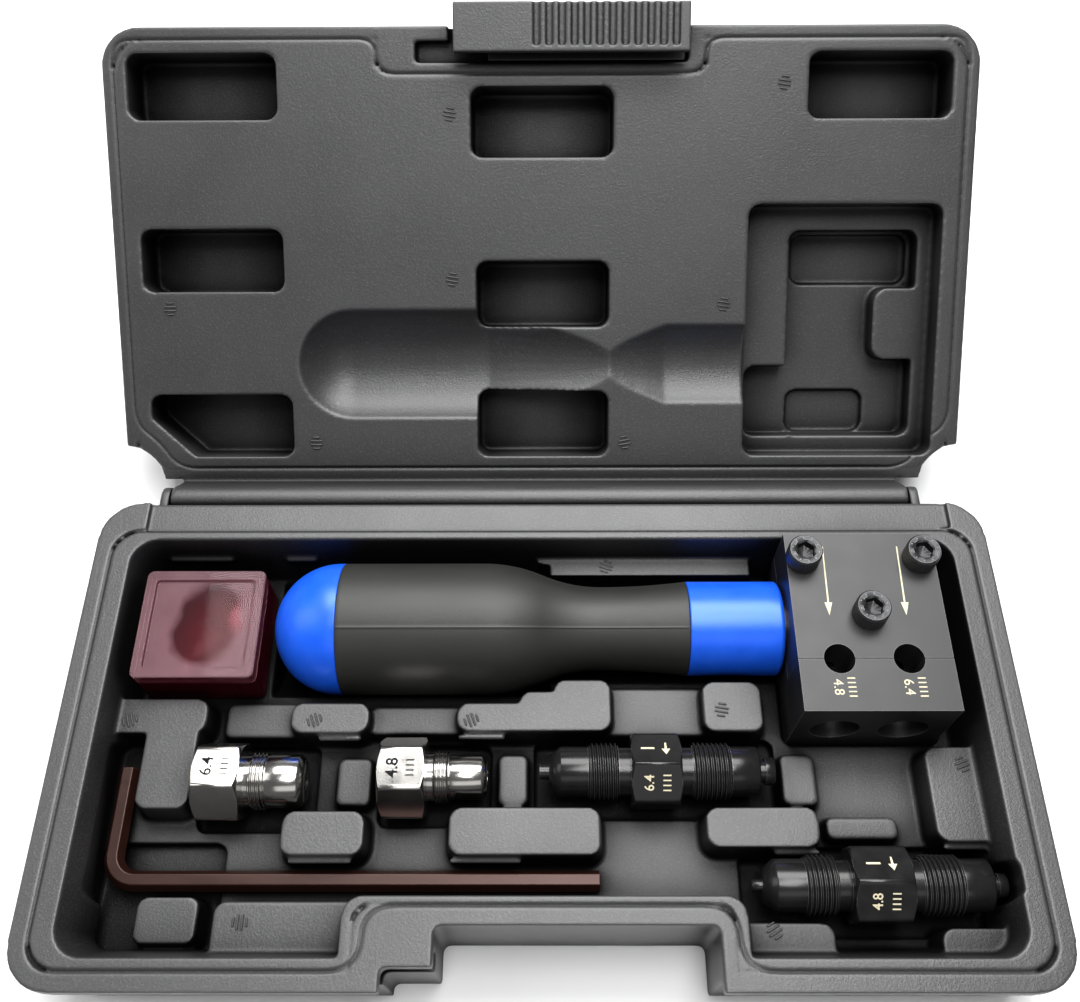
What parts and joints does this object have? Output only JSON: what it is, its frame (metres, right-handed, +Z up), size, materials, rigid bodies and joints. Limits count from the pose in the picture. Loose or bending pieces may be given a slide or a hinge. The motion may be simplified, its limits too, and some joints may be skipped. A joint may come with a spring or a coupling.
{
  "type": "flaring tool kit",
  "caption": "Brake pipe flaring tool: a clamping die on a handle, with punches, depth stops, hexagon key and lubricant in a hinged carry case.",
  "frame": {"origin": "middle of the base's footprint, on its underside", "axes": "+Z up out of the open case, +X to the right along the hinge, +Y to the hinge side"},
  "size_m": [0.27, 0.2746, 0.1209],
  "materials": {
    "case_plastic": "fine textured",
    "pin_steel": "bright drawn",
    "die_black": "satin black oxide",
    "screw_black": "black oxide",
    "rod_steel": "turned",
    "handle_blue": "satin",
    "grip_rubber": "matte",
    "stop_nickel": "bright nickel",
    "punch_black": "polished black oxide",
    "key_bronze": "bronzed",
    "box_clear": "clear",
    "grease_red": "soft"
  },
  "bodies": {
    "case": {"case_base": "case_plastic", "hinge_pin": "pin_steel"},
    "lid": {"case_lid": "case_plastic"},
    "latch": {"case_latch": "case_plastic"},
    "die": {"die_body": "die_black"},
    "clamp": {"clamp_plate": "die_black"},
    "screw_left": {"clamp_screw_left": "screw_black"},
    "screw_right": {"clamp_screw_right": "screw_black"},
    "screw_front": {"clamp_screw_front": "screw_black"},
    "handle": {"handle_rod": "rod_steel", "handle_cap": "handle_blue", "handle_grip": "grip_rubber", "handle_ferrule": "handle_blue"},
    "stop_large": {"stop_large": "stop_nickel"},
    "stop_small": {"stop_small": "stop_nickel"},
    "punch_large": {"punch_large": "punch_black"},
    "punch_small": {"punch_small": "punch_black"},
    "key": {"hex_key": "key_bronze"},
    "box": {"lube_box_base": "box_clear", "lubricant": "grease_red"},
    "box_lid": {"lube_box_lid": "box_clear"}
  },
  "joints": [
    {"name": "lid_hinge", "type": "hinge", "parent": "case", "child": "lid", "pos_m": [0, 0.0756, 0.0249], "axis": [-1, 0, 0], "range_deg": [-140, 0]},
    {"name": "latch_slide", "type": "slide", "parent": "lid", "child": "latch", "axis": [1, 0, 0], "range_m": [-0.011, 0]},
    {"name": "tool_lift", "type": "slide", "parent": "case", "child": "die", "axis": [0, 0, 1], "range_m": [0, 0.12]},
    {"name": "clamp_lift", "type": "slide", "parent": "die", "child": "clamp", "axis": [0, 0, 1], "range_m": [0, 0.004]},
    {"name": "screw_left_turn", "type": "hinge", "parent": "clamp", "child": "screw_left", "pos_m": [0.07635, 0.046, 0.042], "axis": [0, 0, 1], "range_deg": [0, 1440]},
    {"name": "screw_right_turn", "type": "hinge", "parent": "clamp", "child": "screw_right", "pos_m": [0.11035, 0.046, 0.042], "axis": [0, 0, 1], "range_deg": [0, 1440]},
    {"name": "screw_front_turn", "type": "hinge", "parent": "clamp", "child": "screw_front", "pos_m": [0.09335, 0.0283, 0.042], "axis": [0, 0, 1], "range_deg": [0, 1440]},
    {"name": "handle_turn", "type": "hinge", "parent": "die", "child": "handle", "pos_m": [0.0717, 0.0327, 0.0218], "axis": [1, 0, 0], "range_deg": [-180, 180]},
    {"name": "stop_large_lift", "type": "slide", "parent": "case", "child": "stop_large", "axis": [0, 0, 1], "range_m": [0, 0.06]},
    {"name": "stop_small_lift", "type": "slide", "parent": "case", "child": "stop_small", "axis": [0, 0, 1], "range_m": [0, 0.06]},
    {"name": "punch_large_lift", "type": "slide", "parent": "case", "child": "punch_large", "axis": [0, 0, 1], "range_m": [0, 0.06]},
    {"name": "punch_small_lift", "type": "slide", "parent": "case", "child": "punch_small", "axis": [0, 0, 1], "range_m": [0, 0.06]},
    {"name": "key_lift", "type": "slide", "parent": "case", "child": "key", "axis": [0, 0, 1], "range_m": [0, 0.06]},
    {"name": "box_lift", "type": "slide", "parent": "case", "child": "box", "axis": [0, 0, 1], "range_m": [0, 0.06]},
    {"name": "box_lid_hinge", "type": "hinge", "parent": "box", "child": "box_lid", "pos_m": [-0.1002, 0.047, 0.02815], "axis": [-1, 0, 0], "range_deg": [0, 110]}
  ],
  "couplings": [
    {"joint": "screw_left_turn", "follows": "clamp_lift", "rad_per_m": 6283.2},
    {"joint": "screw_right_turn", "follows": "clamp_lift", "rad_per_m": 6283.2},
    {"joint": "screw_front_turn", "follows": "clamp_lift", "rad_per_m": 6283.2}
  ]
}
